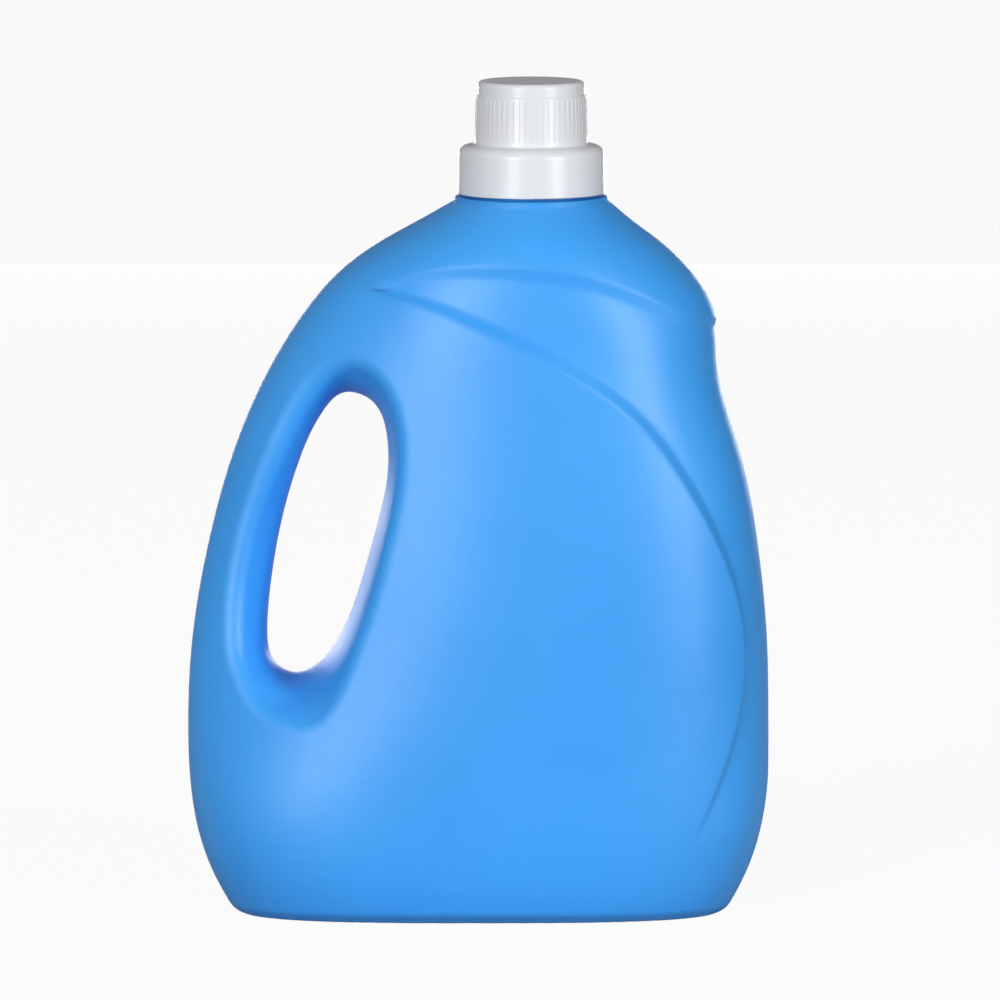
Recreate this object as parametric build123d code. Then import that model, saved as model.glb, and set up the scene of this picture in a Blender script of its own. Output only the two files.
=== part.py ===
from build123d import *
import math
import os

import numpy as np

# A blow-moulded detergent bottle with a hollow side grip, its drain-back pouring spout, its seal
# ring and the dosing cap that screws over them. X runs across the bottle, away from the grip; Y
# runs through its thickness, with the front at -Y; Z is up. The origin is the middle of the foot,
# on the plane where the mould parts. Millimetres.

# Outline of the bottle on the parting plane, as (height, x).
GRIP_EDGE = [
    (0, -86.5), (10, -92.3), (23, -97.8), (42, -101.8), (66, -103.0), (95, -101.6), (129, -96.0),
    (163, -86.8), (193, -73.8), (214, -60.4), (227, -48.8), (235.5, -37.6), (244, -22.8),
    (248.2, -15.2), (252, -8.5),
]
SPOUT_EDGE = [
    (0, 87.5), (10, 93.0), (23, 98.2), (42, 102.0), (66, 103.0), (95, 102.9), (129, 101.2),
    (163, 95.8), (190, 88.4), (203, 85.2), (211, 83.7), (218, 81.0), (227, 74.6), (235.5, 66.2),
    (244, 55.2), (248.2, 50.0), (252, 45.5),
]
WAIST_EDGE = [
    (0, 88.1), (10, 93.6), (23, 98.7), (42, 102.1), (66, 102.6), (95, 102.1), (129, 98.9),
    (163, 92.3), (184, 86.0), (197, 83.8), (205, 83.4), (211, 82.2), (218, 79.0), (227, 72.4),
    (235.5, 64.0), (244, 53.2), (248.2, 48.0), (252, 43.6),
]
HALF_DEPTH = [
    (0, 45.0), (8, 48.5), (20, 51.3), (45, 53.3), (80, 54.0), (120, 53.3), (160, 51.2), (195, 48.4),
    (220, 45.6), (232, 42.6), (240, 38.4), (246, 33.4), (252, 27.0),
]
DEEPEST_X = [(0, 0), (50, 3), (100, 14), (150, 20), (200, 21), (252, 18.5)]

# How square each side of a level section is: 2 is an ellipse, and more is fuller at its corners.
SPOUT_FULLNESS = [(0, 2.9), (60, 2.9), (110, 2.85), (150, 2.75), (200, 2.45), (235, 2.1), (252, 2.0)]
GRIP_FULLNESS = [(0, 2.9), (35, 2.82), (80, 2.45), (115, 2.35), (160, 2.28), (210, 2.12), (252, 2.0)]
GRIP_THINNING = [(0, 0), (35, 0.01), (65, 0.16), (95, 0.34), (125, 0.39), (160, 0.35), (195, 0.2),
                 (225, 0.06), (252, 0)]

SECTION_COUNT = 46
SECTION_POINTS = 41

WALL = 1.1
BASE_WALL = 1.8
SHOULDER_TOP = 252.0
FOOT_ROUND = 7.0
FOOT_RECESS = 4.0
FOOT_RING = 15.0
FOOT_SLOPE = 6.0
PINCH_OFF = (70.0, 1.0, 0.9)

# Swept waist between the shoulder and the label panel, as places (x, z) seen from the front.
PANEL_CREASE = [
    (-46, 226.4), (-38.5, 224.6), (-15.5, 219.4), (19, 206.1), (50.6, 187.1), (76.4, 154.7),
    (89.8, 124), (94.5, 95.2), (91.4, 67.7), (80.3, 37.7), (62, 6),
]
SHOULDER_CREASE = [
    (-47, 214.5), (-38, 220.4), (-26, 224.6), (-8, 227.4), (16, 227.2), (44, 222.0), (64, 213.2),
    (76, 208.8), (83.35, 207.0),
]
WAIST_DEPTH = [(0, -0.6), (14, -0.5), (36, 0.7), (60, 2.0), (90, 2.3), (160, 2.3), (236, 2.2), (252, 1.5)]
PANEL_SLOPE = 1.9
SHOULDER_SLOPE = 2.2
APEX_X = -38.0
RIDGE_RISE = 6.0
FAN_CENTRE = (20.0, 60.0)
FAN_REACH = 120.0

# Grip hole on the parting plane, and the rim of its flare on the outer faces, as (x, z).
HOLE = [
    (-44.6, 184.2), (-36.2, 179.6), (-32.3, 167), (-32.6, 152), (-36.4, 135), (-41.9, 115.5),
    (-48.8, 97.5), (-56.6, 87.2), (-64.6, 83.7), (-72.4, 88), (-74.9, 99), (-73.6, 116.5),
    (-69.5, 139.5), (-62.6, 162.2), (-54.2, 178.6),
]
RIM = [
    (-43.5, 200.5), (-28.6, 189), (-24.4, 170.5), (-25.4, 152), (-29.4, 132.5), (-34.6, 113),
    (-41.4, 93), (-50.5, 74.5), (-65.0, 65.2), (-80.5, 74), (-88.6, 97.5), (-87.6, 119),
    (-82.0, 143.5), (-71.0, 170.5), (-59.5, 190),
]
FLARE_DEPTHS = [0, 5, 10, 16, 23, 32, 42, 56]
FLARE_TURN = 55.0
RIM_ALLOWANCE = 3.5
RIM_ROUND = 6.0

# Neck finish and closure, about an upright axis through the neck. Radii.
AXIS_X = 18.5
COLLAR_R = 26.9
COLLAR_TOP = 253.5
NECK_R = 22.8
BORE_R = 21.2
NECK_TOP = 267.9

SLEEVE_R = 20.2
FLANGE_R = 22.9
FLANGE_TOP = 269.1
SPOUT_R = 13.0
SPOUT_WALL = 1.2
LIP_HIGH, LIP_LOW = 286.0, 273.0
FLOOR_HIGH, FLOOR_LOW = 246.0, 240.5
DRAIN_R = 2.4

SEAL_INNER_R, SEAL_OUTER_R = 19.9, 24.0
SEAL_TOP = 270.1

SKIRT_FOOT = 254.6
SKIRT_R, SKIRT_TOP_R = 26.1, 25.8
SKIRT_INNER_R = 24.4
CAP_SHOULDER = 271.5
KNOB_R, KNOB_RIB_R, KNOB_TOP_R = 19.9, 19.35, 18.95
RIB_TO = 289.3
CAP_TOP = 294.4
CAP_WALL = 1.5
CUP_FOOT = 252.6
CUP_INNER_R = 17.75
CUP_WALL = 1.35


def curve_through(points):
    """A natural cubic through (position, value) points, as a function of position."""
    x, y = (np.array(c, float) for c in zip(*points))
    h = np.diff(x)
    n = len(x)
    system, load = np.eye(n), np.zeros(n)
    for i in range(1, n - 1):
        system[i, i - 1 : i + 2] = h[i - 1], 2 * (h[i - 1] + h[i]), h[i]
        load[i] = 6 * ((y[i + 1] - y[i]) / h[i] - (y[i] - y[i - 1]) / h[i - 1])
    bend = np.linalg.solve(system, load)

    def value(at):
        i = int(np.clip(np.searchsorted(x, at) - 1, 0, n - 2))
        a, b = x[i + 1] - at, at - x[i]
        cubic = (bend[i] * a**3 + bend[i + 1] * b**3) / (6 * h[i])
        start = (y[i] / h[i] - bend[i] * h[i] / 6) * a
        end = (y[i + 1] / h[i] - bend[i + 1] * h[i] / 6) * b
        return cubic + start + end

    return value


def steepness(curve, z):
    return math.hypot(1, curve(z + 0.5) - curve(z - 0.5))


grip_edge = curve_through(GRIP_EDGE)
spout_edge = curve_through(SPOUT_EDGE)
waist_edge = curve_through(WAIST_EDGE)
half_depth = curve_through(HALF_DEPTH)
deepest_x = curve_through(DEEPEST_X)
spout_fullness = curve_through(SPOUT_FULLNESS)
grip_fullness = curve_through(GRIP_FULLNESS)
grip_thinning = curve_through(GRIP_THINNING)
waist_depth = curve_through(WAIST_DEPTH)


def spans(z, inset, waisted):
    """Reach to the grip side, reach to the spout side and half depth of a level section."""
    edge = waist_edge if waisted else spout_edge
    to_grip = deepest_x(z) - grip_edge(z) - inset * steepness(grip_edge, z)
    to_spout = edge(z) - deepest_x(z) - inset * steepness(edge, z)
    depth = half_depth(z) - (waist_depth(z) if waisted else 0)
    return to_grip, to_spout, depth - inset * steepness(half_depth, z)


def face_y(x, z, inset=0, waisted=False):
    """How far the front face stands from the parting plane at a place seen from the front."""
    to_grip, to_spout, depth = spans(z, inset, waisted)
    off = x - deepest_x(z)
    u = off / to_spout if off > 0 else -off / to_grip
    n = spout_fullness(z) if off > 0 else grip_fullness(z)
    thinning = 0 if off > 0 else grip_thinning(z)
    return depth * max(1 - u**n, 0) ** (1 / n) * (1 - thinning * u**2) if u < 1 else 0.0


def half_section(z, inset, waisted):
    """The front half of a level section: evenly spaced points from the grip edge to the other."""
    to_grip, to_spout, depth = spans(z, inset, waisted)
    turn = np.linspace(math.pi, 0, 721)
    cosine, sine = np.cos(turn), np.abs(np.sin(turn))
    sine[0] = sine[-1] = 0
    on_grip = cosine < 0
    power = np.where(on_grip, 2 / grip_fullness(z), 2 / spout_fullness(z))
    out = np.abs(cosine) ** power
    x = deepest_x(z) + np.where(on_grip, -to_grip, to_spout) * out
    y = -depth * sine**power * np.where(on_grip, 1 - grip_thinning(z) * out**2, 1)
    along = np.concatenate([[0], np.cumsum(np.hypot(np.diff(x), np.diff(y)))])
    stops = np.linspace(0, along[-1], SECTION_POINTS)
    return [Vector(*p, z) for p in zip(np.interp(stops, along, x), np.interp(stops, along, y))]


def half_wire(z, inset, waisted=False, lift=0.0):
    """The outline of a half section, closed along the parting plane and raised by lift."""
    points = [p + Vector(0, 0, lift) for p in half_section(z, inset, waisted)]
    whole = sum((b - a).length for a, b in zip(points, points[1:]))
    rise = [i / (SECTION_POINTS - 1) for i in range(SECTION_POINTS)]
    ends = [Vector(0, -whole, 0), Vector(0, whole, 0)]
    outline = Edge.make_spline(points, tangents=ends, parameters=rise, scale=False)
    return Wire([outline, Edge.make_line(points[-1], points[0])])


def half_body(inset, waisted, bottom, top):
    """The front half of the bottle below its neck, drawn in all round by inset."""
    heights = np.linspace(bottom, top, SECTION_COUNT)
    skin = Face.make_surface_from_array_of_points(
        [half_section(z, inset, waisted) for z in heights], tol=0.01, min_deg=3, max_deg=3
    )
    by_height = skin.edges().sort_by(Axis.Z)
    low, high, sides = by_height[0], by_height[-1], by_height[1:-1]
    across = [Edge.make_line(e.position_at(0), e.position_at(1)) for e in (low, high)]
    foot = Face(Wire([low, across[0]]))
    lid = Face(Wire([high, across[1]]))
    parting = Face(Wire(list(sides) + across))
    return Solid(Shell([skin, foot, lid, parting]))


def polygon(points):
    return Wire.make_polygon([Vector(*p) for p in points], close=True)


def crease_station(x, z, inset):
    """A flat outline across the panel crease: everything past the sloping wall, seen along it."""
    ray = Vector(x - FAN_CENTRE[0], 0, z - FAN_CENTRE[1]).normalized()
    step = 0.5
    near = face_y(x - step * ray.X, z - step * ray.Z, 0, True)
    far = face_y(x + step * ray.X, z + step * ray.Z, 0, True)
    surface = (far - near) / (2 * step)
    across, out = 1 / math.hypot(1, surface), surface / math.hypot(1, surface)
    # The wall climbs along the surface towards the panel; its run is PANEL_SLOPE times its rise.
    climb_r, climb_y = -out - PANEL_SLOPE * across, across - PANEL_SLOPE * out
    size = math.hypot(climb_r, climb_y)
    climb_r, climb_y = climb_r / size, climb_y / size
    depth = face_y(x, z, 0, True)

    def place(r, y):
        return (x + r * ray.X, -y, z + r * ray.Z)

    foot_r, foot_y = -inset * climb_y, depth + inset * climb_r
    return polygon([
        place(foot_r - 5 * climb_r, foot_y - 5 * climb_y),
        place(foot_r + 12 * climb_r, foot_y + 12 * climb_y),
        place(FAN_REACH, 95),
        place(FAN_REACH, -6),
        place(foot_r - 5 * climb_r, -6),
    ])


def radius_at(turn, z, waisted=True):
    """How far the surface stands from the neck axis in a direction turned from the spout side."""
    turn = math.acos(math.cos(turn))
    near, far = 5.0, 140.0
    for _ in range(40):
        reach = (near + far) / 2
        inside = reach * math.sin(turn) < face_y(AXIS_X + reach * math.cos(turn), z, 0, waisted)
        if turn < 0.02:
            inside = reach < spans(z, 0, waisted)[1] + deepest_x(z) - AXIS_X
        near, far = (reach, far) if inside else (near, reach)
    return near


def shoulder_station(turn, z, inset):
    """A flat outline across the shoulder crease: everything above its sloping wall."""
    low, high = radius_at(turn, z - 0.5), radius_at(turn, z + 0.5)
    lean = high - low
    length = math.hypot(1, lean)
    # The wall climbs SHOULDER_SLOPE up along the surface for each step out of it.
    climb_r, climb_z = 1 + SHOULDER_SLOPE * lean, -lean + SHOULDER_SLOPE
    size = math.hypot(climb_r, climb_z)
    climb_r, climb_z = climb_r / size, climb_z / size
    foot_r = radius_at(turn, z) - inset * climb_z
    foot_z = z + inset * climb_r

    def place(r, height):
        return (AXIS_X + r * math.cos(turn), -r * math.sin(turn), height)

    return polygon([
        place(foot_r - 5 * climb_r, foot_z - 5 * climb_z),
        place(foot_r + 9 * climb_r, foot_z + 9 * climb_z),
        place(foot_r + 30, foot_z + 60),
        place(2, foot_z + 60),
        place(2, foot_z - 5 * climb_z),
    ])


def spline_points(points, count):
    path = Edge.make_spline([Vector(x, 0, z) for x, z in points])
    return [path.position_at(i / (count - 1)) for i in range(count)]


def half_waist(inset, bottom, top):
    """What the swept waist takes off the front half."""
    panel = [crease_station(p.X, p.Z, inset) for p in spline_points(PANEL_CREASE, 15)]
    crease = spline_points(SHOULDER_CREASE, 15)
    turns = [(math.atan2(face_y(p.X, p.Z, 0, True), p.X - AXIS_X), p.Z) for p in crease]
    turns.append((-turns[-2][0], turns[-2][1]))
    outside = Solid.make_loft(panel)
    outside -= Solid.make_loft([shoulder_station(turn, z, inset) for turn, z in turns])
    outside -= Pos(APEX_X - 50, 0, 230) * Box(100, 300, 200)
    above = [(x, 10, z + RIDGE_RISE) for x, z in SHOULDER_CREASE]
    above += [(120, 10, 204), (120, 10, 320), (-60, 10, 320)]
    outside -= Solid.extrude(Face(polygon(above)), Vector(0, -120, 0))
    return outside - half_body(inset, True, bottom, top)


def flare_oval(y, inset):
    """The grip hole at a distance y from the parting plane, widening as a quarter ellipse does."""
    points = []
    turn = math.radians(FLARE_TURN)
    whole = 1 - math.cos(turn) + (1 - math.sin(turn)) * math.tan(turn)
    for (hole_x, hole_z), (rim_x, rim_z) in zip(HOLE, RIM):
        across, up = rim_x - hole_x, rim_z - hole_z
        width = math.hypot(across, up)
        rim_y = face_y(rim_x, rim_z)
        reach = (width - RIM_ALLOWANCE) / whole
        phi = math.asin(min(y / rim_y, math.sin(turn)))
        growth = reach / rim_y * math.tan(phi)
        spread = reach * (1 - math.cos(phi)) + max(y - rim_y * math.sin(turn), 0) * growth
        spread += inset * math.hypot(1, growth)
        points.append(Vector(hole_x + across / width * spread, -y, hole_z + up / width * spread))
    return Wire([Edge.make_spline(points, periodic=True)])


def half_flare(inset):
    return Solid.make_loft([flare_oval(y, inset) for y in FLARE_DEPTHS])


def whole_of(half):
    return half + half.mirror(Plane.XZ)


def half_recess(grow):
    """The hollow under the foot, or with grow what stands up around it inside the bottle."""
    low = half_wire(0, FOOT_RING - grow)
    high = half_wire(0, FOOT_RING + FOOT_SLOPE - grow, lift=FOOT_RECESS + grow)
    return Solid.make_loft([low, high])


def runs_along(edge, test):
    return edge.length > 20 and all(test(edge.position_at(k / 8)) for k in range(9))


def rim_edges(half):
    """Where the flare of the grip hole meets the outer face."""
    return [e for e in half.edges() if runs_along(e, lambda p: p.X < -10 and p.Y < -8 < 45 < p.Z < 215)]


def half_outside():
    half = half_body(0, False, 0, SHOULDER_TOP) - half_waist(0, 0, SHOULDER_TOP) - half_flare(0)
    half = half.fillet(RIM_ROUND, rim_edges(half))
    foot = [e for e in half.edges() if runs_along(e, lambda p: abs(p.Z) < 0.01)]
    foot = [e for e in foot if e.bounding_box().min.Y < -5]
    return half.fillet(FOOT_ROUND, foot) - half_recess(0)


def half_inside():
    bottom, top = BASE_WALL, SHOULDER_TOP - WALL
    half = half_body(WALL, False, bottom, top) - half_waist(WALL, bottom, top)
    half = half - half_flare(WALL)
    return half.fillet(RIM_ROUND - 0.9 * WALL, rim_edges(half)) - half_recess(BASE_WALL)


def turned(outline):
    """A solid turned about the neck axis from (radius, height) or (radius, height, rounding)."""
    face = Face(Wire.make_polygon([Vector(AXIS_X + r, 0, z) for r, z, *_ in outline], close=True))
    for r, z, *rounding in outline:
        if rounding:
            corner = face.vertices().sort_by_distance(Vector(AXIS_X + r, 0, z))[0]
            face = face.fillet_2d(rounding[0], [corner])
    return Solid.revolve(face, 360, Axis((AXIS_X, 0, 0), (0, 0, 1)))


def bottle():
    outside = whole_of(half_outside())
    collar = [(0, SHOULDER_TOP - 4), (COLLAR_R - 4, SHOULDER_TOP - 4), (COLLAR_R, SHOULDER_TOP - 0.2)]
    collar += [(COLLAR_R, COLLAR_TOP, 0.4), (NECK_R, COLLAR_TOP, 0.6), (NECK_R, NECK_TOP)]
    outside += turned(collar + [(0, NECK_TOP)])
    outside += Pos(0, 0, FOOT_RECESS - 0.3) * Box(*PINCH_OFF)
    hollow = whole_of(half_inside())
    bore = turned([(0, 240), (BORE_R, 240), (BORE_R, NECK_TOP + 1), (0, NECK_TOP + 1)])
    return outside - hollow - bore


def slanted(points, low, high):
    """The part of a turned shape below a plane that climbs from low on the grip side to high."""
    reach = 40.0
    climb = (high - low) / (2 * SPOUT_R)
    middle = (high + low) / 2
    corners = [(-reach, middle - climb * reach), (reach, middle + climb * reach), (reach, 150)]
    corners.append((-reach, 150))
    face = Face(Wire.make_polygon([Vector(AXIS_X + x, -50, z) for x, z in corners], close=True))
    return turned(points) & Solid.extrude(face, Vector(0, 100, 0))


def pour_spout():
    tube = slanted([(0, 200), (SPOUT_R, 200), (SPOUT_R, 300), (0, 300)], LIP_LOW, LIP_HIGH)
    cup = turned([(0, 200), (BORE_R, 200), (BORE_R, NECK_TOP), (FLANGE_R, NECK_TOP),
                  (FLANGE_R, FLANGE_TOP), (0, FLANGE_TOP)])
    inside = turned([(0, 200), (SLEEVE_R, 200), (SLEEVE_R, 300), (0, 300)])
    below = slanted([(0, 100), (60, 100), (60, 400), (0, 400)], FLOOR_LOW - SPOUT_WALL,
                    FLOOR_HIGH - SPOUT_WALL)
    floor = slanted([(0, 100), (60, 100), (60, 400), (0, 400)], FLOOR_LOW, FLOOR_HIGH)
    inside -= floor
    bore = turned([(0, 200), (SPOUT_R - SPOUT_WALL, 200), (SPOUT_R - SPOUT_WALL, 300), (0, 300)])
    drain = Pos(AXIS_X - (SPOUT_R + SLEEVE_R) / 2, 0, FLOOR_LOW) * Cylinder(DRAIN_R, 20)
    return (cup - inside) + (tube - below) - below - bore - drain


def seal_ring():
    return turned([(SEAL_INNER_R, FLANGE_TOP), (SEAL_OUTER_R, FLANGE_TOP),
                   (SEAL_OUTER_R, SEAL_TOP), (SEAL_INNER_R, SEAL_TOP)])


def cap():
    outline = [
        (SKIRT_INNER_R, SKIRT_FOOT), (SKIRT_R, SKIRT_FOOT, 0.4),
        (SKIRT_TOP_R, CAP_SHOULDER - 0.2, 3.4), (KNOB_R + 0.1, CAP_SHOULDER + 0.6, 0.8),
        (KNOB_RIB_R, RIB_TO), (KNOB_TOP_R, RIB_TO + 0.4), (KNOB_TOP_R, CAP_TOP, 1.7),
        (0, CAP_TOP), (0, CAP_TOP - CAP_WALL), (CUP_INNER_R, CAP_TOP - CAP_WALL),
        (CUP_INNER_R, CUP_FOOT), (CUP_INNER_R + CUP_WALL, CUP_FOOT),
        (CUP_INNER_R + CUP_WALL, SEAL_TOP), (SKIRT_INNER_R, SEAL_TOP),
    ]
    return turned(outline)


os.makedirs("parts", exist_ok=True)
for build in (bottle, pour_spout, seal_ring, cap):
    export_step(build(), f"parts/{build.__name__}.step")
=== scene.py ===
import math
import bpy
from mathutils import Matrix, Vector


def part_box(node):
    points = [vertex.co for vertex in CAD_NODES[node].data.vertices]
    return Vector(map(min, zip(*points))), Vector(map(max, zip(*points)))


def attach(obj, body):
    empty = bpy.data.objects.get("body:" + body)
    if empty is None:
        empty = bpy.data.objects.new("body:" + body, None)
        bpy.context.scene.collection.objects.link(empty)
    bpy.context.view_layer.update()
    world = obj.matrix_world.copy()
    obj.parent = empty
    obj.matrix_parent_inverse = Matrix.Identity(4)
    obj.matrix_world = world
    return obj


bl_info = {
    "name": "Detergent bottle",
    "version": (1, 0, 0),
    "blender": (4, 5, 0),
    "location": "View3D > Sidebar > Bottle",
    "description": "Finishes a blow-moulded bottle and its dosing cap, with grip ribs, threads and a stage",
    "category": "Object",
}

import bpy
from mathutils import Vector

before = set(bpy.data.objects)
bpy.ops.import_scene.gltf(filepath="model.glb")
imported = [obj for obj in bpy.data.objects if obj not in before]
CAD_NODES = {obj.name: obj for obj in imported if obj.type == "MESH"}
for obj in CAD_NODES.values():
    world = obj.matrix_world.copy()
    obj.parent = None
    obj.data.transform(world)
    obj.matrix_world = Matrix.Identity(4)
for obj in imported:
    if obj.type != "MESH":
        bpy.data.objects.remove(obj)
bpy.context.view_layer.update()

# Places that the CAD gives, in metres. The axis of the neck and the cap stands at NECK_X.
NECK_X = 0.0185
FOOT_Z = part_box("bottle")[0][2]
CAP_TOP_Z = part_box("cap")[1][2]

BLUE_HDPE = "Blow-moulded HDPE, satin blue"
WHITE_POLYPROPYLENE = "Injection-moulded polypropylene, white"
WHITE = (1.0, 1.0, 1.0, 1.0)

# Sizes of the plastic's patterns, in metres.
STREAK_WIDTH = 0.0714
PIT_SPACING = 0.0085
PIT_DEPTH = 0.00005
SEAM_HEIGHT = 0.0001
GATE_DISH = (0.0009, 0.0016)
GATE_PIP = (0.0002, 0.0006)
GATE_DEPTH = 0.0003
SINK_WIDTH = 0.006
CAP_GRAIN = 0.0005
FLOW_WIDTH = 0.004
FOAM_CELL = 0.0005

# The stage, in metres and degrees.
FLOOR_REACH = 9.0
BOX_TARGET = (0.0, 0.0, 0.16)
BOX_DISTANCE = 2.4
FRONT_BOX = (0.8, 1.5)
BACK_BOX = (1.8, 0.4)
FLOOR_WHITE_SHARE = 0.94
CAMERA_PLACE = (0.0075, -5.5, 0.755)
CAMERA_AIM = (0.0075, 0.0, 0.1455)
CAMERA_LENS_MM = 563.0


# ---------------------------------------------------------------- colours and nodes


def linear(code):
    """The linear values of an sRGB hex colour, with an alpha of 1."""
    parts = [int(code[i : i + 2], 16) / 255 for i in (1, 3, 5)]
    return (*(p / 12.92 if p <= 0.04045 else ((p + 0.055) / 1.055) ** 2.4 for p in parts), 1.0)


def add(tree, kind, values=None, links=None, **settings):
    """Adds a node with its settings, its socket values and the sockets that feed it."""
    node = tree.nodes.new(kind)
    for name, value in settings.items():
        setattr(node, name, value)
    for socket, value in (values or {}).items():
        node.inputs[socket].default_value = value
    for socket, source in (links or {}).items():
        tree.links.new(source, node.inputs[socket])
    return node


def new_material(name):
    """A material with only its output, and the place on the object to build patterns on."""
    material = bpy.data.materials.new(name)
    material.use_nodes = True
    tree = material.node_tree
    tree.nodes.clear()
    output = add(tree, "ShaderNodeOutputMaterial")
    place = add(tree, "ShaderNodeTexCoord").outputs["Object"]
    return material, tree, output, place


def wear(node, material):
    """Gives a CAD node its finish."""
    CAD_NODES[node].data.materials.clear()
    CAD_NODES[node].data.materials.append(material)


# ---------------------------------------------------------------- materials


def blown_hdpe(settings):
    """Blow-moulded HDPE: a waxy satin skin that takes the sand-blasted mould's fine orange peel.

    The blown skin rounds every edge of the mould, the grain breaks each highlight up, the odd pit
    shows where air was caught, and a hair line runs round where the two mould halves meet.
    """
    material, tree, output, place = new_material(BLUE_HDPE)
    # Pigment streaks a hand wide, as the parison stretches.
    streaks = add(
        tree, "ShaderNodeTexNoise", {"Scale": 1 / STREAK_WIDTH, "Detail": 2.0}, {"Vector": place}
    )
    pigment = add(
        tree,
        "ShaderNodeMix",
        {6: (*settings.shade, 1.0), 7: (*settings.colour, 1.0)},
        {
            0: add(
                tree,
                "ShaderNodeMapRange",
                {"From Min": 0.3, "From Max": 0.6},
                {"Value": streaks.outputs["Fac"]},
            ).outputs["Result"]
        },
        data_type="RGBA",
    )
    # Orange peel of the blasted mould, drawn about twice as coarse as it is, so that it shows.
    peel = add(
        tree,
        "ShaderNodeTexNoise",
        {"Scale": 1 / settings.grain, "Detail": 3.0, "Roughness": 0.6},
        {"Vector": place},
    )
    # Trapped-air pits a millimetre across, about one in each square centimetre.
    cells = add(tree, "ShaderNodeTexVoronoi", {"Scale": 1 / PIT_SPACING}, {"Vector": place})
    pits = add(
        tree,
        "ShaderNodeMapRange",
        {"From Max": 0.06},
        {"Value": cells.outputs["Distance"]},
        interpolation_type="SMOOTHSTEP",
    )
    # The parting line stands up by a tenth of a millimetre.
    across = add(tree, "ShaderNodeSeparateXYZ", None, {"Vector": place}).outputs["Y"]
    seam = add(
        tree,
        "ShaderNodeMapRange",
        {"From Max": settings.seam, "To Min": 1.0, "To Max": 0.0},
        {"Value": add(tree, "ShaderNodeMath", None, {0: across}, operation="ABSOLUTE").outputs[0]},
        interpolation_type="SMOOTHSTEP",
    )
    # Blown plastic never fills a sharp corner of its mould.
    rounded = add(tree, "ShaderNodeBevel", {"Radius": settings.edge_round}, samples=4)
    fine = add(
        tree,
        "ShaderNodeBump",
        {"Strength": 0.5, "Distance": settings.grain_depth},
        {"Height": peel.outputs["Fac"], "Normal": rounded.outputs["Normal"]},
    )
    pitted = add(
        tree,
        "ShaderNodeBump",
        {"Strength": 0.6, "Distance": PIT_DEPTH},
        {"Height": pits.outputs["Result"], "Normal": fine.outputs["Normal"]},
    )
    seamed = add(
        tree,
        "ShaderNodeBump",
        {"Strength": 1.0, "Distance": SEAM_HEIGHT},
        {"Height": seam.outputs["Result"], "Normal": pitted.outputs["Normal"]},
    )
    gloss = add(
        tree,
        "ShaderNodeMapRange",
        {"From Min": 0.3, "From Max": 0.7, "To Min": settings.roughness - 0.04,
         "To Max": settings.roughness + 0.05},
        {"Value": peel.outputs["Fac"]},
    )
    skin = add(
        tree,
        "ShaderNodeBsdfPrincipled",
        {"IOR": 1.54},
        {
            "Base Color": pigment.outputs[2],
            "Roughness": gloss.outputs["Result"],
            "Normal": seamed.outputs["Normal"],
        },
    )
    tree.links.new(skin.outputs["BSDF"], output.inputs["Surface"])
    return material


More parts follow.
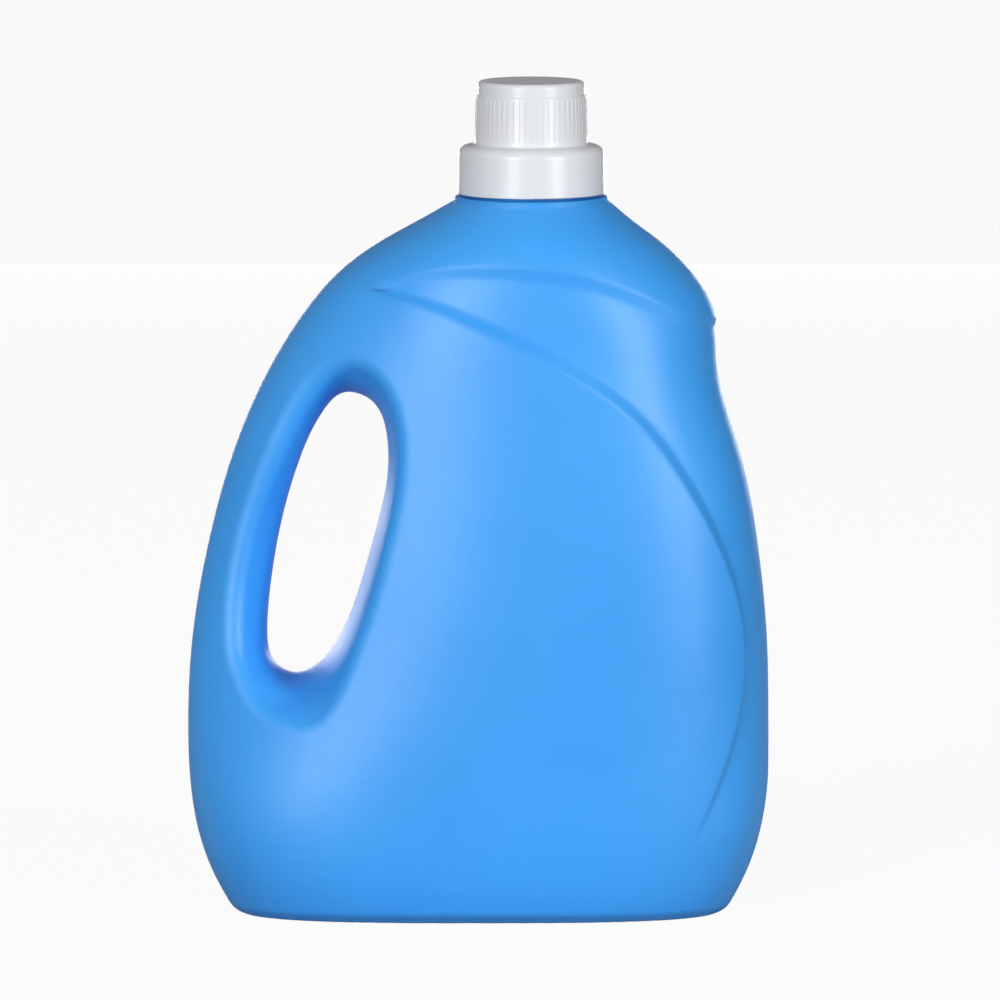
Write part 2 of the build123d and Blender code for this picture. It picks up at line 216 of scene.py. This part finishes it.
def moulded_polypropylene(settings):
    """Injection-moulded polypropylene: white, with a bright polished side and a duller top.

    The side shows sharp light bands, softened by a faint sink of the wall behind, and the middle
    of the top keeps the mark of the gate where the plastic ran in.
    """
    material, tree, output, place = new_material(WHITE_POLYPROPYLENE)
    parts = add(tree, "ShaderNodeSeparateXYZ", None, {"Vector": place})
    from_axis = add(
        tree,
        "ShaderNodeVectorMath",
        {1: (NECK_X, 0.0, CAP_TOP_Z)},
        {0: place},
        operation="DISTANCE",
    ).outputs["Value"]
    # The gate is a shallow dish 3 mm across with a raised pip.
    dish = add(
        tree,
        "ShaderNodeMapRange",
        {"From Min": GATE_DISH[0], "From Max": GATE_DISH[1]},
        {"Value": from_axis},
        interpolation_type="SMOOTHSTEP",
    )
    pip = add(
        tree,
        "ShaderNodeMapRange",
        {"From Min": GATE_PIP[0], "From Max": GATE_PIP[1], "To Min": 0.9, "To Max": 0.0},
        {"Value": from_axis},
        interpolation_type="SMOOTHSTEP",
    )
    gate = add(
        tree, "ShaderNodeMath", None, {0: dish.outputs["Result"], 1: pip.outputs["Result"]},
        operation="ADD",
    )
    top = add(
        tree,
        "ShaderNodeMapRange",
        {"From Min": CAP_TOP_Z - 0.0006, "From Max": CAP_TOP_Z - 0.0001},
        {"Value": parts.outputs["Z"]},
    )
    ripple = add(
        tree, "ShaderNodeTexNoise", {"Scale": 1 / SINK_WIDTH, "Detail": 1.0}, {"Vector": place}
    )
    grain = add(
        tree, "ShaderNodeTexNoise", {"Scale": 1 / CAP_GRAIN, "Detail": 2.0}, {"Vector": place}
    )
    rounded = add(tree, "ShaderNodeBevel", {"Radius": settings.edge_round}, samples=4)
    waves = add(
        tree,
        "ShaderNodeBump",
        {"Strength": 0.35, "Distance": 0.00012},
        {"Height": ripple.outputs["Fac"], "Normal": rounded.outputs["Normal"]},
    )
    fine = add(
        tree,
        "ShaderNodeBump",
        {"Distance": 0.00002},
        {
            "Strength": add(
                tree, "ShaderNodeMapRange", {"To Min": 0.08, "To Max": 0.5},
                {"Value": top.outputs["Result"]},
            ).outputs["Result"],
            "Height": grain.outputs["Fac"],
            "Normal": waves.outputs["Normal"],
        },
    )
    marked = add(
        tree,
        "ShaderNodeBump",
        {"Strength": 1.0, "Distance": GATE_DEPTH},
        {"Height": gate.outputs[0], "Normal": fine.outputs["Normal"]},
    )
    gloss = add(
        tree,
        "ShaderNodeMapRange",
        {"To Min": settings.roughness, "To Max": 0.5},
        {"Value": top.outputs["Result"]},
    )
    shell = add(
        tree,
        "ShaderNodeBsdfPrincipled",
        {"Base Color": (*settings.colour, 1.0), "IOR": 1.49, "Subsurface Weight": 0.2,
         "Subsurface Radius": (1.0, 1.0, 1.0), "Subsurface Scale": 0.0012},
        {"Roughness": gloss.outputs["Result"], "Normal": marked.outputs["Normal"]},
    )
    tree.links.new(shell.outputs["BSDF"], output.inputs["Surface"])
    return material


def natural_polyethylene(settings):
    """Injection-moulded low-density polyethylene without pigment: milky, soft and waxy."""
    material, tree, output, place = new_material("Injection-moulded LDPE, natural")
    flow = add(
        tree, "ShaderNodeTexNoise", {"Scale": 1 / FLOW_WIDTH, "Detail": 2.0}, {"Vector": place}
    )
    skin = add(
        tree,
        "ShaderNodeBump",
        {"Strength": 0.3, "Distance": 0.00008},
        {"Height": flow.outputs["Fac"]},
    )
    milk = add(
        tree,
        "ShaderNodeMix",
        {6: linear("#D5D9D8"), 7: (*settings.spout_colour, 1.0)},
        {0: flow.outputs["Fac"]},
        data_type="RGBA",
    )
    wax = add(
        tree,
        "ShaderNodeBsdfPrincipled",
        {"IOR": 1.51, "Roughness": 0.36, "Subsurface Weight": 0.4,
         "Subsurface Radius": (1.0, 1.0, 0.9), "Subsurface Scale": 0.0015},
        {"Base Color": milk.outputs[2], "Normal": skin.outputs["Normal"]},
    )
    tree.links.new(wax.outputs["BSDF"], output.inputs["Surface"])
    return material


def foamed_polyethylene(settings):
    """Die-cut closed-cell polyethylene foam: matt, off-white, full of half-millimetre cells."""
    material, tree, output, place = new_material("Closed-cell polyethylene foam")
    cells = add(tree, "ShaderNodeTexVoronoi", {"Scale": 1 / FOAM_CELL}, {"Vector": place})
    skin = add(
        tree,
        "ShaderNodeBump",
        {"Strength": 0.6, "Distance": 0.0001},
        {"Height": cells.outputs["Distance"]},
    )
    shade = add(
        tree,
        "ShaderNodeMix",
        {6: (*settings.seal_colour, 1.0), 7: linear("#C9C7BE")},
        {0: cells.outputs["Distance"]},
        data_type="RGBA",
    )
    foam = add(
        tree,
        "ShaderNodeBsdfPrincipled",
        {"IOR": 1.45, "Roughness": 0.85},
        {"Base Color": shade.outputs[2], "Normal": skin.outputs["Normal"]},
    )
    tree.links.new(foam.outputs["BSDF"], output.inputs["Surface"])
    return material


def named_material(name):
    """A finish that an earlier step has made."""
    if name not in bpy.data.materials:
        raise RuntimeError(f"the material {name} isn't made yet")
    return bpy.data.materials[name]


# ---------------------------------------------------------------- geometry nodes


def new_geometry_tree(name, inputs):
    """A geometry tree with named inputs, given as (name, socket type)."""
    tree = bpy.data.node_groups.new(name, "GeometryNodeTree")
    tree.interface.new_socket("Geometry", in_out="OUTPUT", socket_type="NodeSocketGeometry")
    for label, kind in inputs:
        tree.interface.new_socket(label, in_out="INPUT", socket_type=kind)
    given = add(tree, "NodeGroupInput")
    return tree, given.outputs


def end_tree(tree, geometry, material):
    """Makes the instances real, gives them their material and ends the tree."""
    real = add(tree, "GeometryNodeRealizeInstances", None, {"Geometry": geometry})
    smooth = add(tree, "GeometryNodeSetShadeSmooth", None, {"Geometry": real.outputs[0]})
    painted = add(
        tree, "GeometryNodeSetMaterial", {"Material": material}, {"Geometry": smooth.outputs[0]}
    )
    add(tree, "NodeGroupOutput", None, {"Geometry": painted.outputs[0]})


def number(tree, operation, *terms):
    """One sum on values or sockets."""
    node = add(tree, "ShaderNodeMath", operation=operation)
    for socket, term in zip(node.inputs, terms):
        if isinstance(term, (int, float)):
            socket.default_value = term
        else:
            tree.links.new(term, socket)
    return node.outputs[0]


def spread_around(tree, shape, count, offset_x):
    """Copies of a shape, turned evenly about an upright axis and then moved along X."""
    points = add(tree, "GeometryNodePoints", None, {"Count": count})
    index = add(tree, "GeometryNodeInputIndex").outputs[0]
    turn = number(tree, "DIVIDE", number(tree, "MULTIPLY", index, math.tau), count)
    rotation = add(tree, "ShaderNodeCombineXYZ", None, {"Z": turn})
    copies = add(
        tree,
        "GeometryNodeInstanceOnPoints",
        None,
        {"Points": points.outputs[0], "Instance": shape, "Rotation": rotation.outputs[0]},
    )
    shift = add(tree, "ShaderNodeCombineXYZ", None, {"X": offset_x})
    return add(
        tree,
        "GeometryNodeTransform",
        None,
        {"Geometry": copies.outputs[0], "Translation": shift.outputs[0]},
    ).outputs[0]


def tapered_ends(tree, curve, share):
    """Thins a curve's radius to nothing over a share of its length at each end."""
    along = add(tree, "GeometryNodeSplineParameter").outputs["Factor"]
    left = number(tree, "MINIMUM", along, number(tree, "SUBTRACT", 1.0, along))
    ramp = number(tree, "MINIMUM", number(tree, "DIVIDE", left, share), 1.0)
    rounded = number(tree, "SQRT", number(tree, "MAXIMUM", ramp, 0.0004))
    return add(
        tree, "GeometryNodeSetCurveRadius", None, {"Curve": curve, "Radius": rounded}
    ).outputs[0]


def swept(tree, curve, radius, sides):
    """A round bar along a curve, as thick as the curve's radius says."""
    ring = add(
        tree, "GeometryNodeCurvePrimitiveCircle", {"Resolution": sides}, {"Radius": radius}
    )
    thickness = add(tree, "GeometryNodeInputRadius").outputs[0]
    links = {"Curve": curve, "Profile Curve": ring.outputs[0]}
    bar = add(tree, "GeometryNodeCurveToMesh", {"Fill Caps": True}, links)
    if "Scale" in bar.inputs:
        tree.links.new(thickness, bar.inputs["Scale"])
    return bar.outputs[0]


def rib_tree(material):
    """Upright half-round ribs around a knob, leaning as the knob does."""
    tree, given = new_geometry_tree(
        "Knob ribs",
        [
            ("Count", "NodeSocketInt"),
            ("Axis X", "NodeSocketFloat"),
            ("Foot radius", "NodeSocketFloat"),
            ("Top radius", "NodeSocketFloat"),
            ("Foot height", "NodeSocketFloat"),
            ("Top height", "NodeSocketFloat"),
            ("Rib radius", "NodeSocketFloat"),
            ("Rib depth", "NodeSocketFloat"),
        ],
    )
    sunk = number(tree, "SUBTRACT", given["Rib radius"], given["Rib depth"])
    ends = []
    for radius, height in (("Foot radius", "Foot height"), ("Top radius", "Top height")):
        out = number(tree, "SUBTRACT", given[radius], sunk)
        ends.append(add(tree, "ShaderNodeCombineXYZ", None, {"X": out, "Z": given[height]}))
    line = add(
        tree,
        "GeometryNodeCurvePrimitiveLine",
        None,
        {"Start": ends[0].outputs[0], "End": ends[1].outputs[0]},
    )
    points = add(
        tree, "GeometryNodeResampleCurve", {"Count": 24}, {"Curve": line.outputs[0]}
    )
    bar = swept(tree, tapered_ends(tree, points.outputs[0], 0.05), given["Rib radius"], 12)
    end_tree(tree, spread_around(tree, bar, given["Count"], given["Axis X"]), material)
    return tree


def thread_tree(material):
    """Right-handed rounded screw ridges, as many as there are starts, run out at both ends."""
    tree, given = new_geometry_tree(
        "Screw thread",
        [
            ("Starts", "NodeSocketInt"),
            ("Axis X", "NodeSocketFloat"),
            ("Radius", "NodeSocketFloat"),
            ("Lead", "NodeSocketFloat"),
            ("Turns", "NodeSocketFloat"),
            ("Foot height", "NodeSocketFloat"),
            ("First angle", "NodeSocketFloat"),
            ("Ridge radius", "NodeSocketFloat"),
        ],
    )
    climb = number(tree, "MULTIPLY", given["Lead"], given["Turns"])
    helix = add(
        tree,
        "GeometryNodeCurveSpiral",
        {"Resolution": 72},
        {
            "Rotations": given["Turns"],
            "Start Radius": given["Radius"],
            "End Radius": given["Radius"],
            "Height": climb,
        },
    )
    up = add(tree, "ShaderNodeCombineXYZ", None, {"Z": given["Foot height"]})
    round_by = add(tree, "ShaderNodeCombineXYZ", None, {"Z": given["First angle"]})
    placed = add(
        tree,
        "GeometryNodeTransform",
        None,
        {
            "Geometry": helix.outputs[0],
            "Translation": up.outputs[0],
            "Rotation": round_by.outputs[0],
        },
    )
    bar = swept(tree, tapered_ends(tree, placed.outputs[0], 0.1), given["Ridge radius"], 14)
    end_tree(tree, spread_around(tree, bar, given["Starts"], given["Axis X"]), material)
    return tree


def made_by(tree, name, values, body):
    """Runs a geometry tree with its inputs, keeps the result as a plain mesh and lets it ride."""
    piece = bpy.data.objects.new(name, bpy.data.meshes.new(name))
    bpy.context.scene.collection.objects.link(piece)
    modifier = piece.modifiers.new(name, "NODES")
    modifier.node_group = tree
    for item in tree.interface.items_tree:
        if item.item_type == "SOCKET" and item.in_out == "INPUT":
            modifier[item.identifier] = values[item.name]
    bpy.context.view_layer.update()
    evaluated = piece.evaluated_get(bpy.context.evaluated_depsgraph_get())
    mesh = bpy.data.meshes.new_from_object(evaluated)
    piece.modifiers.remove(modifier)
    if not mesh.polygons:
        raise RuntimeError(f"{name} came out empty")
    piece.data = mesh
    mesh.name = name
    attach(piece, body)
    return piece


# ---------------------------------------------------------------- settings


def colour_property(name, description, code):
    return bpy.props.FloatVectorProperty(
        name=name,
        description=description,
        subtype="COLOR",
        size=3,
        min=0.0,
        max=1.0,
        default=linear(code)[:3],
    )


def length_property(name, description, default):
    return bpy.props.FloatProperty(
        name=name, description=description, default=default, min=0.0, unit="LENGTH", precision=5
    )


def power_property(name, description, default):
    return bpy.props.FloatProperty(
        name=name, description=description, default=default, min=0.0, unit="POWER"
    )


class BottleFinishSettings(bpy.types.PropertyGroup):
    colour: colour_property("Blue", "Colour of the bottle's plastic", "#41A8FB")
    shade: colour_property("Streak blue", "Colour of the faint pigment streaks", "#3BA1F6")
    grain: length_property("Grain", "Width of one bump of the orange peel", 0.0009)
    grain_depth: length_property("Grain depth", "Height of the orange peel", 0.00006)
    seam: length_property("Parting line", "Half the width of the mould's parting line", 0.0003)
    edge_round: length_property("Edge round", "Radius that the blown skin keeps at an edge", 0.003)
    roughness: bpy.props.FloatProperty(
        name="Roughness", description="How dull the bottle's skin is", default=0.4, min=0, max=1
    )


class ClosureFinishSettings(bpy.types.PropertyGroup):
    colour: colour_property("Cap white", "Colour of the cap", "#E6E8EB")
    spout_colour: colour_property("Spout white", "Colour of the pouring spout", "#E9EBEA")
    seal_colour: colour_property("Seal white", "Colour of the foam seal", "#E4E2DA")
    edge_round: length_property("Edge round", "Radius that every moulded edge keeps", 0.0005)
    roughness: bpy.props.FloatProperty(
        name="Roughness", description="How dull the side of the cap is", default=0.26, min=0, max=1
    )


class KnobRibSettings(bpy.types.PropertyGroup):
    count: bpy.props.IntProperty(
        name="Ribs", description="Number of grip ribs around the knob", default=60, min=3
    )
    foot_radius: length_property("Foot radius", "Radius of the knob at the ribs' foot", 0.01986)
    top_radius: length_property("Top radius", "Radius of the knob at the ribs' top", 0.01936)
    foot_height: length_property("Foot height", "Height of the ribs' foot", 0.2735)
    top_height: length_property("Top height", "Height of the ribs' top", 0.2892)
    rib_radius: length_property("Rib radius", "Radius of a rib's rounded back", 0.0005)
    depth: length_property("Depth", "How far a rib stands out of the knob", 0.00016)


class ThreadSettings(bpy.types.PropertyGroup):
    starts: bpy.props.IntProperty(
        name="Starts", description="Number of ridges that run side by side", default=2, min=1
    )
    lead: length_property("Lead", "Height that one turn climbs", 0.0084667)
    ridge: length_property("Ridge", "How far a ridge stands out of its wall", 0.0011)
    neck_radius: length_property("Neck radius", "Radius of the neck's wall", 0.0228)
    neck_foot: length_property("Neck foot", "Height of the neck ridge's low end", 0.2570)
    neck_turns: bpy.props.FloatProperty(
        name="Neck turns", description="Turns of each ridge on the neck", default=1.05, min=0.1
    )
    cap_radius: length_property("Cap radius", "Radius inside the cap's skirt", 0.0244)
    cap_foot: length_property("Cap foot", "Height of the cap ridge's low end", 0.2562)
    cap_turns: bpy.props.FloatProperty(
        name="Cap turns", description="Turns of each ridge in the cap", default=0.93, min=0.1
    )
    cap_below: length_property("Cap below", "How far a cap ridge lies under a neck ridge", 0.00175)


class StageSettings(bpy.types.PropertyGroup):
    floor_colour: colour_property("Floor", "Colour of the floor", "#B4B5B7")
    left: power_property("Left box", "Power of the left soft box", 32.0)
    right: power_property("Right box", "Power of the right soft box", 32.0)
    back: power_property("Back box", "Power of the soft box behind", 14.0)
    surround: bpy.props.FloatProperty(
        name="Surround", description="Light from all sides", default=0.24, min=0
    )


# ---------------------------------------------------------------- operators


class FinishBottle(bpy.types.Operator):
    """Gives the bottle its blow-moulded blue finish"""

    bl_idname = "bottle.finish_bottle"
    bl_label = "Finish the bottle"

    def execute(self, context):
        wear("bottle", blown_hdpe(context.scene.bottle_finish))
        return {"FINISHED"}


class FinishClosure(bpy.types.Operator):
    """Gives the cap, the pouring spout and the foam seal their finishes"""

    bl_idname = "bottle.finish_closure"
    bl_label = "Finish the closure"

    def execute(self, context):
        settings = context.scene.closure_finish
        wear("cap", moulded_polypropylene(settings))
        wear("pour_spout", natural_polyethylene(settings))
        wear("seal_ring", foamed_polyethylene(settings))
        return {"FINISHED"}


class AddKnobRibs(bpy.types.Operator):
    """Adds the grip ribs around the cap's knob"""

    bl_idname = "bottle.add_knob_ribs"
    bl_label = "Add the knob's ribs"

    def execute(self, context):
        settings = context.scene.knob_ribs
        tree = rib_tree(named_material(WHITE_POLYPROPYLENE))
        values = {
            "Count": settings.count,
            "Axis X": NECK_X,
            "Foot radius": settings.foot_radius,
            "Top radius": settings.top_radius,
            "Foot height": settings.foot_height,
            "Top height": settings.top_height,
            "Rib radius": settings.rib_radius,
            "Rib depth": settings.depth,
        }
        made_by(tree, "knob_ribs", values, "cap")
        return {"FINISHED"}


class AddThreads(bpy.types.Operator):
    """Adds the screw ridges on the neck and inside the cap's skirt"""

    bl_idname = "bottle.add_threads"
    bl_label = "Add the threads"

    def execute(self, context):
        settings = context.scene.threads
        shared = {
            "Starts": settings.starts,
            "Axis X": NECK_X,
            "Lead": settings.lead,
            "Ridge radius": settings.ridge,
        }
        neck = shared | {
            "Radius": settings.neck_radius,
            "Turns": settings.neck_turns,
            "Foot height": settings.neck_foot,
            "First angle": 0.0,
        }
        climb = settings.cap_foot + settings.cap_below - settings.neck_foot
        cap = shared | {
            "Radius": settings.cap_radius,
            "Turns": settings.cap_turns,
            "Foot height": settings.cap_foot,
            "First angle": climb / settings.lead * math.tau,
        }
        blue = named_material(BLUE_HDPE)
        white = named_material(WHITE_POLYPROPYLENE)
        made_by(thread_tree(blue), "neck_thread", neck, "bottle")
        made_by(thread_tree(white), "cap_thread", cap, "cap")
        return {"FINISHED"}


def soft_box(name, turn, lift, size, power):
    """An area light, turned from the front and lifted, that looks at the middle of the bottle."""
    data = bpy.data.lights.new(name, "AREA")
    data.shape = "RECTANGLE"
    data.size, data.size_y = size
    data.energy = power
    turn, lift = math.radians(turn), math.radians(lift)
    level = math.cos(lift)
    away = Vector((math.sin(turn) * level, -math.cos(turn) * level, math.sin(lift)))
    light = bpy.data.objects.new(name, data)
    light.location = Vector(BOX_TARGET) + away * BOX_DISTANCE
    light.rotation_euler = away.to_track_quat("Z", "Y").to_euler()
    bpy.context.scene.collection.objects.link(light)


class BuildStage(bpy.types.Operator):
    """Sets the floor, the soft boxes, the surround and the camera"""

    bl_idname = "bottle.build_stage"
    bl_label = "Build the stage"

    def execute(self, context):
        scene = context.scene
        settings = scene.stage
        self.lay_floor(scene, settings)
        soft_box("Left soft box", -28, 15, FRONT_BOX, settings.left)
        soft_box("Right soft box", 42, 15, FRONT_BOX, settings.right)
        soft_box("Back soft box", 180, -2, BACK_BOX, settings.back)
        self.surround(scene, settings)
        self.set_camera(scene)
        scene.view_settings.view_transform = "Standard"
        return {"FINISHED"}

    def lay_floor(self, scene, settings):
        """A wide sheet of paper under the bottle's foot."""
        mesh = bpy.data.meshes.new("floor")
        corners = [(-1, -1), (1, -1), (1, 1), (-1, 1)]
        places = [(x * FLOOR_REACH, y * FLOOR_REACH, FOOT_Z) for x, y in corners]
        mesh.from_pydata(places, [], [(0, 1, 2, 3)])
        floor = bpy.data.objects.new("floor", mesh)
        scene.collection.objects.link(floor)
        mesh.materials.append(self.paper(settings))

    def surround(self, scene, settings):
        """Soft light from all sides, paler on the grip's side, behind a background of white."""
        world = bpy.data.worlds.new("Pale surround")
        scene.world = world
        world.use_nodes = True
        tree = world.node_tree
        tree.nodes.clear()
        seen = add(tree, "ShaderNodeLightPath").outputs["Is Camera Ray"]
        toward = add(tree, "ShaderNodeTexCoord").outputs["Generated"]
        side = add(
            tree,
            "ShaderNodeMapRange",
            {"From Min": -1.0, "From Max": 1.0, "To Min": settings.surround,
             "To Max": settings.surround * 0.3},
            {"Value": add(tree, "ShaderNodeSeparateXYZ", None, {"Vector": toward}).outputs["X"]},
        )
        strength = add(
            tree,
            "ShaderNodeMapRange",
            {"To Max": 1.0},
            {"Value": seen, "To Min": side.outputs["Result"]},
        )
        sky = add(
            tree,
            "ShaderNodeBackground",
            {"Color": WHITE},
            {"Strength": strength.outputs["Result"]},
        )
        add(tree, "ShaderNodeOutputWorld", None, {"Surface": sky.outputs[0]})

    def set_camera(self, scene):
        """The photograph's view: from far off and a little above."""
        data = bpy.data.cameras.new("Photograph's view")
        data.sensor_width = 36.0
        data.lens = CAMERA_LENS_MM
        data.clip_end = 60.0
        camera = bpy.data.objects.new("Photograph's view", data)
        camera.location = CAMERA_PLACE
        aim = Vector(CAMERA_AIM) - camera.location
        camera.rotation_euler = aim.to_track_quat("-Z", "Y").to_euler()
        scene.collection.objects.link(camera)
        scene.camera = camera

    def paper(self, settings):
        """Seamless matt studio paper, which the camera sees as white with the shadow on it."""
        material, tree, output, place = new_material("Seamless paper, matt white")
        fibre = add(tree, "ShaderNodeTexNoise", {"Scale": 400.0}, {"Vector": place})
        tone = add(
            tree,
            "ShaderNodeMix",
            {6: (*settings.floor_colour, 1.0), 7: linear("#BCBDBE")},
            {0: fibre.outputs["Fac"]},
            data_type="RGBA",
        )
        matt = add(
            tree, "ShaderNodeBsdfDiffuse", {"Roughness": 1.0}, {"Color": tone.outputs[2]}
        )
        white = add(tree, "ShaderNodeEmission", {"Color": WHITE, "Strength": 1.0})
        seen = add(tree, "ShaderNodeLightPath").outputs["Is Camera Ray"]
        share = add(
            tree, "ShaderNodeMath", {1: FLOOR_WHITE_SHARE}, {0: seen}, operation="MULTIPLY"
        )
        both = add(
            tree,
            "ShaderNodeMixShader",
            None,
            {0: share.outputs[0], 1: matt.outputs[0], 2: white.outputs[0]},
        )
        tree.links.new(both.outputs[0], output.inputs["Surface"])
        return material


class BottlePanel(bpy.types.Panel):
    """Lists the bottle's steps and their settings"""

    bl_idname = "VIEW3D_PT_detergent_bottle"
    bl_label = "Detergent bottle"
    bl_space_type = "VIEW_3D"
    bl_region_type = "UI"
    bl_category = "Bottle"

    def draw(self, context):
        for operator, group in STEPS:
            box = self.layout.box()
            box.operator(operator.bl_idname)
            settings = getattr(context.scene, group)
            for name in settings.bl_rna.properties.keys():
                if name not in ("rna_type", "name"):
                    box.prop(settings, name)


STEPS = [
    (FinishBottle, "bottle_finish"),
    (FinishClosure, "closure_finish"),
    (AddKnobRibs, "knob_ribs"),
    (AddThreads, "threads"),
    (BuildStage, "stage"),
]

GROUPS = {
    "bottle_finish": BottleFinishSettings,
    "closure_finish": ClosureFinishSettings,
    "knob_ribs": KnobRibSettings,
    "threads": ThreadSettings,
    "stage": StageSettings,
}


def register():
    for name, group in GROUPS.items():
        bpy.utils.register_class(group)
        setattr(bpy.types.Scene, name, bpy.props.PointerProperty(type=group))
    for operator, _ in STEPS:
        bpy.utils.register_class(operator)
    bpy.utils.register_class(BottlePanel)


def unregister():
    bpy.utils.unregister_class(BottlePanel)
    for operator, _ in reversed(STEPS):
        bpy.utils.unregister_class(operator)
    for name, group in reversed(GROUPS.items()):
        delattr(bpy.types.Scene, name)
        bpy.utils.unregister_class(group)


def main():
    register()
    bpy.ops.bottle.finish_bottle()
    bpy.ops.bottle.finish_closure()
    bpy.ops.bottle.add_knob_ribs()
    bpy.ops.bottle.add_threads()
    bpy.ops.bottle.build_stage()


if __name__ == "__main__":
    main()
